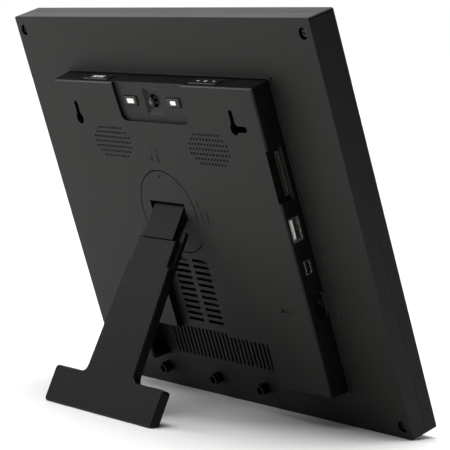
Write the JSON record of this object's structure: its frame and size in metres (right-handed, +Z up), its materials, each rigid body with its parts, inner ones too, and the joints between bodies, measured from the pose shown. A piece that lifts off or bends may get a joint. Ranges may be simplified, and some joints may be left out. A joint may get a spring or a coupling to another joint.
{
  "type": "digital photo frame",
  "caption": "Digital photo frame leaning on a T-footed folding stand, hinged on a turntable in the back cover, with keys, joystick, sockets, grilles and hanging slots.",
  "frame": {"origin": "centre of the bounding box's underside, on the table top the frame stands on", "axes": "+Z up, the screen faces -Y leaning back, the stand is on the +Y side, +X to the right seen from the front"},
  "size_m": [0.296, 0.1242, 0.239],
  "materials": {
    "housing_plastic": "fine matt texture",
    "cover_plastic": "fine matt texture, satin sides",
    "stand_plastic": "fine matt texture",
    "bezel_plastic": "satin",
    "cover_glass": "polished",
    "mat_card": "uncoated card",
    "lcd": "gloss",
    "light_guide": "clear acrylic",
    "plated_steel": "bright plated",
    "black_steel": "black zinc",
    "circuit_board": "solder mask",
    "black_moulding": "moulded",
    "white_moulding": "moulded",
    "key_plastic": "satin",
    "rubber": "matt"
  },
  "bodies": {
    "housing": {"front_bezel": "bezel_plastic", "cover_glass": "cover_glass", "mat_board": "mat_card", "lcd_panel": "lcd", "backlight_guide": "light_guide", "lcd_chassis": "plated_steel", "rear_shell": "housing_plastic", "screw_top_left": "black_steel", "screw_top_right": "black_steel", "screw_bottom_left": "black_steel", "screw_bottom_right": "black_steel", "boss_screw_1": "black_steel", "boss_screw_2": "black_steel", "boss_screw_3": "black_steel", "electronics_cover": "cover_plastic", "main_board": "circuit_board", "card_board": "circuit_board", "processor": "black_moulding", "inverter_board": "circuit_board", "usb_shell": "plated_steel", "usb_tongue": "white_moulding", "mini_usb_shell": "plated_steel", "mini_usb_tongue": "black_moulding", "card_socket": "plated_steel", "dc_socket_body": "black_moulding", "dc_socket_pin": "plated_steel", "speaker_left": "black_moulding", "speaker_right": "black_moulding", "control_board": "circuit_board", "key_switch_left": "black_moulding", "key_switch_right": "black_moulding", "joystick_base": "black_moulding", "power_board": "circuit_board", "volume_pin": "plated_steel", "volume_board": "circuit_board", "turntable_retainer": "plated_steel", "retainer_screw_1": "plated_steel", "retainer_screw_2": "plated_steel", "retainer_screw_3": "plated_steel"},
    "turntable": {"turntable": "stand_plastic", "hinge_pin": "plated_steel", "hinge_washer_left": "plated_steel", "hinge_washer_right": "plated_steel"},
    "stand": {"hinge_arm": "stand_plastic", "stand_leg": "stand_plastic", "foot_pad_left": "rubber", "foot_pad_right": "rubber"},
    "left_key": {"key_left": "key_plastic"},
    "right_key": {"key_right": "key_plastic"},
    "joystick_press": {"joystick_plunger": "plated_steel"},
    "joystick_tilt": {"joystick_rocker": "black_moulding"},
    "joystick_cap": {"joystick_knob": "key_plastic"},
    "power_button": {"power_key": "key_plastic"},
    "volume_button": {"volume_rocker": "key_plastic"}
  },
  "joints": [
    {"name": "turntable_turn", "type": "hinge", "parent": "housing", "child": "turntable", "pos_m": [0.0123, -0.00116, 0.12138], "axis": [0, 0.9409, -0.3387], "range_deg": [-90, 0]},
    {"name": "stand_fold", "type": "hinge", "parent": "turntable", "child": "stand", "pos_m": [0.0123, 0.00719, 0.11858], "axis": [-1, 0, 0], "range_deg": [0, 42.4]},
    {"name": "key_left_press", "type": "slide", "parent": "housing", "child": "left_key", "axis": [0, -0.9409, 0.3387], "range_m": [0, 0.0005], "stiffness_N_per_m": 800},
    {"name": "key_right_press", "type": "slide", "parent": "housing", "child": "right_key", "axis": [0, -0.9409, 0.3387], "range_m": [0, 0.0005], "stiffness_N_per_m": 800},
    {"name": "joystick_press", "type": "slide", "parent": "housing", "child": "joystick_press", "axis": [0, -0.9409, 0.3387], "range_m": [0, 0.0003], "stiffness_N_per_m": 800},
    {"name": "joystick_tilt_up_down", "type": "hinge", "parent": "joystick_press", "child": "joystick_tilt", "pos_m": [0.0011, 0.03091, 0.18476], "axis": [-1, 0, 0], "range_deg": [-6, 6], "stiffness_Nm_per_rad": 0.01},
    {"name": "joystick_tilt_left_right", "type": "hinge", "parent": "joystick_tilt", "child": "joystick_cap", "pos_m": [0.0011, 0.03091, 0.18476], "axis": [0, 0.3387, 0.9409], "range_deg": [-6, 6], "stiffness_Nm_per_rad": 0.01},
    {"name": "power_press", "type": "slide", "parent": "housing", "child": "power_button", "axis": [0, -0.3387, -0.9409], "range_m": [0, 0.0006], "stiffness_N_per_m": 1000},
    {"name": "volume_rock", "type": "hinge", "parent": "housing", "child": "volume_button", "pos_m": [-0.0512, 0.02555, 0.19557], "axis": [0, 0.9409, -0.3387], "range_deg": [-2.5, 2.5], "stiffness_Nm_per_rad": 0.3}
  ]
}
